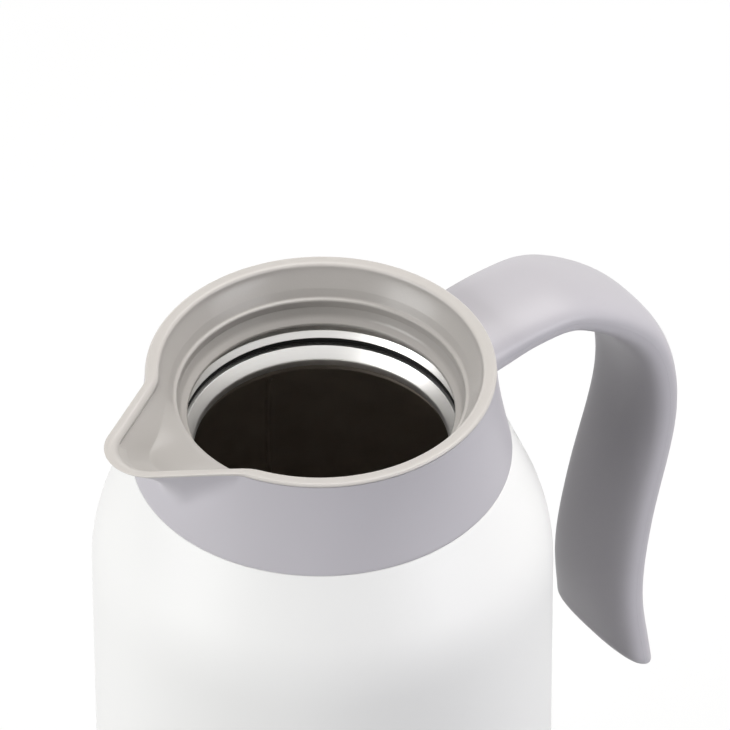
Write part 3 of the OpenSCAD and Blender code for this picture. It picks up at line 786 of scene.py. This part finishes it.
MATERIALS = {
    "white_enamel": surface(
        "white_enamel", (0.8, 0.8, 0.79), dict(Scale=18.0, Spread=0.03),
        dict(Scale=700.0, Roughness=0.52, Spread=0.08), (0.03, 0.0004),
        {"Coat Weight": 0.08, "Coat Roughness": 0.5, "IOR": 1.5}),
    "grey_moulding": surface(
        "grey_moulding", (0.465, 0.45, 0.48), dict(Scale=35.0, Spread=0.05),
        dict(Scale=1500.0, Roughness=0.42, Spread=0.1), (0.06, 0.0003), {"IOR": 1.4}),
    "warm_moulding": surface(
        "warm_moulding", (0.425, 0.405, 0.385), dict(Scale=35.0, Spread=0.05),
        dict(Scale=1500.0, Roughness=0.3, Spread=0.1), (0.06, 0.0003), {"IOR": 1.4},
        # painted highlight on the rim's top, lighter where the top light falls on it
        rim_highlight=dict(Start=(RIM_H - RIM_ROUND) * MM, End=(RIM_H - PAINTED_HIGHLIGHT_DEPTH) * MM, Lift=0.24)),
    "bare_steel": surface(
        "bare_steel", (0.82, 0.81, 0.79), dict(Scale=60.0, Spread=0.05),
        dict(Pitch=3000.0, Roughness=0.4, Spread=0.14), (0.05, 0.0003), {"Metallic": 1.0}, TURNING),
    "dark_coating": surface(
        "dark_coating", (0.3, 0.26, 0.225), dict(Scale=90.0, Spread=0.4),
        dict(Scale=1300.0, Roughness=0.36, Spread=0.12), (0.08, 0.0003), {"IOR": 1.45}),
    "black_silicone": surface(
        "black_silicone", (0.012, 0.012, 0.012), dict(Scale=50.0, Spread=0.4),
        dict(Scale=1100.0, Roughness=0.45, Spread=0.1), (0.08, 0.0003), {"IOR": 1.2}),
    "base_moulding": surface(
        "base_moulding", (0.45, 0.435, 0.465), dict(Scale=35.0, Spread=0.06),
        dict(Scale=1500.0, Roughness=0.48, Spread=0.1), (0.06, 0.0003), {"IOR": 1.46}),
    "wrapped_foil": surface(
        "wrapped_foil", (0.82, 0.82, 0.83), dict(Scale=80.0, Spread=0.05),
        dict(Scale=240.0, Roughness=0.24, Spread=0.1), (0.1, 0.0004), {"Metallic": 1.0}),
}

NODE_FINISH = {
    "outer_base": "bare_steel", "liner_base": "dark_coating", "radiation_foil": "wrapped_foil",
    "getter": "bare_steel", "getter_clip": "bare_steel", "vacuum_seal": "bare_steel",
    "base_cover": "base_moulding", "base_pad": "black_silicone", "neck_gasket": "black_silicone",
    "collar_gasket": "black_silicone", "handle_screws": "bare_steel",
}
for node, finish in NODE_FINISH.items():
    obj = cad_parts[node]
    obj.data.materials.clear()
    obj.data.materials.append(MATERIALS[finish])


def fit_piece(obj, finish, slot, *nodes):
    """A finished piece: its material, its body and the nodes it stands for; slot, the record's slot, is
    not used.
    """
    obj.data.materials.append(MATERIALS[finish])
    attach(obj, "root")
    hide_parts(*nodes)


fit_piece(make_body_shell(), "white_enamel", "white_paint", "outer_shell")
fit_piece(make_liner_wall(), "dark_coating", "dark_liner", "inner_liner")
fit_piece(make_collar(), "grey_moulding", "grey_plastic", "collar")
fit_piece(make_funnel(), "warm_moulding", "warm_plastic", "funnel")
fit_piece(make_mouth_ring(), "warm_moulding", "warm_plastic", "mouth_ring")
fit_piece(make_steel_neck(), "bare_steel", "steel", "neck_ring")
fit_piece(make_groove_seal(), "black_silicone", "silicone", "groove_seal")
fit_piece(make_handle_half("handle_outer_half", 1), "grey_moulding", "grey_plastic", "handle_shell")
fit_piece(make_handle_half("handle_inner_half", -1), "grey_moulding", "grey_plastic", "handle_cover")


# studio, in metres
FLOOR_SIZE = 6
FLOOR_GAP = 0.0004
FLOOR_FADE = (0.35, 1.3)
FLOOR_GLOW = (0.86, 1.0)
LIGHT_AIM = (0, 0, 0.18)
WHITE = (1.0, 1.0, 1.0)


def seen_rays(nodes, link):
    """1 where the background is looked at directly, in a reflection or through glass."""
    path = nodes.new("ShaderNodeLightPath")
    either = nodes.new("ShaderNodeMath")
    either.operation = "MAXIMUM"
    link(path.outputs["Is Camera Ray"], either.inputs[0])
    link(path.outputs["Is Glossy Ray"], either.inputs[1])
    any_ray = nodes.new("ShaderNodeMath")
    any_ray.operation = "MAXIMUM"
    link(either.outputs[0], any_ray.inputs[0])
    link(path.outputs["Is Transmission Ray"], any_ray.inputs[1])
    return any_ray.outputs[0]


def make_floor():
    """Pale sheet that keeps the shadow near the carafe and turns white farther off."""
    bm = bmesh.new()
    bmesh.ops.create_grid(bm, x_segments=1, y_segments=1, size=FLOOR_SIZE)
    mesh = bpy.data.meshes.new("floor")
    bm.to_mesh(mesh)
    bm.free()
    floor = bpy.data.objects.new("floor", mesh)
    floor.location.z = -FLOOR_GAP
    scene.collection.objects.link(floor)
    mat = bpy.data.materials.new("studio_floor")
    mat.use_nodes = True
    nodes, link = mat.node_tree.nodes, mat.node_tree.links.new
    bounce = nodes["Principled BSDF"]
    bounce.inputs["Base Color"].default_value = (0.07, 0.07, 0.07, 1)
    bounce.inputs["Roughness"].default_value = 0.9
    paper = nodes.new("ShaderNodeBsdfDiffuse")
    paper.inputs["Color"].default_value = (0.9, 0.9, 0.9, 1)
    glow = nodes.new("ShaderNodeEmission")
    glow.inputs["Color"].default_value = (1, 1, 1, 1)
    glow.inputs["Strength"].default_value = 1.0
    sheet = nodes.new("ShaderNodeMixShader")
    away = nodes.new("ShaderNodeVectorMath")
    away.operation = "LENGTH"
    fade = nodes.new("ShaderNodeMapRange")
    fade.interpolation_type = "SMOOTHSTEP"
    for label, value in zip(("From Min", "From Max", "To Min", "To Max"), FLOOR_FADE + FLOOR_GLOW):
        fade.inputs[label].default_value = value
    link(nodes.new("ShaderNodeTexCoord").outputs["Object"], away.inputs[0])
    link(away.outputs["Value"], fade.inputs["Value"])
    link(fade.outputs["Result"], sheet.inputs[0])
    link(paper.outputs[0], sheet.inputs[1])
    link(glow.outputs[0], sheet.inputs[2])
    mix = nodes.new("ShaderNodeMixShader")
    link(seen_rays(nodes, link), mix.inputs[0])
    link(bounce.outputs[0], mix.inputs[1])
    link(sheet.outputs[0], mix.inputs[2])
    link(mix.outputs[0], nodes["Material Output"].inputs["Surface"])
    mesh.materials.append(mat)


def make_world():
    """White where it is looked at, dim where it lights."""
    world = bpy.data.worlds.new("studio")
    scene.world = world
    world.use_nodes = True
    nodes, link = world.node_tree.nodes, world.node_tree.links.new
    light = nodes["Background"]
    light.inputs["Color"].default_value = (0.97, 0.98, 1.0, 1)
    light.inputs["Strength"].default_value = 0.02
    seen = nodes.new("ShaderNodeBackground")
    seen.inputs["Color"].default_value = (1, 1, 1, 1)
    seen.inputs["Strength"].default_value = 1.0
    mix = nodes.new("ShaderNodeMixShader")
    link(seen_rays(nodes, link), mix.inputs[0])
    link(light.outputs[0], mix.inputs[1])
    link(seen.outputs[0], mix.inputs[2])
    link(mix.outputs[0], nodes["World Output"].inputs["Surface"])


def make_panel(name, place_at, size, power, colour):
    """Soft panel that faces the carafe."""
    data = bpy.data.lights.new(name, "AREA")
    data.shape = "RECTANGLE"
    data.size, data.size_y = size
    data.energy = power
    data.color = colour
    lamp = bpy.data.objects.new(name, data)
    lamp.location = place_at
    lamp.rotation_mode = "QUATERNION"
    lamp.rotation_quaternion = (Vector(LIGHT_AIM) - Vector(place_at)).to_track_quat("-Z", "Y")
    scene.collection.objects.link(lamp)


make_floor()
make_world()
make_panel("panel_left", (-1.385, 0.203, 0.5), (0.9, 1.0), 22.2, WHITE)
make_panel("panel_right", (0.517, -1.302, 0.3), (0.9, 0.55), 14.4, (0.97, 0.97, 1.0))
make_panel("panel_top", (0.492, 0.093, 1.5), (1.1, 1.1), 22.5, (1.0, 0.985, 0.965))
make_panel("panel_back", (0.846, 1.238, 0.5), (1.2, 0.9), 3.0, WHITE)

scene.view_settings.view_transform = "Standard"
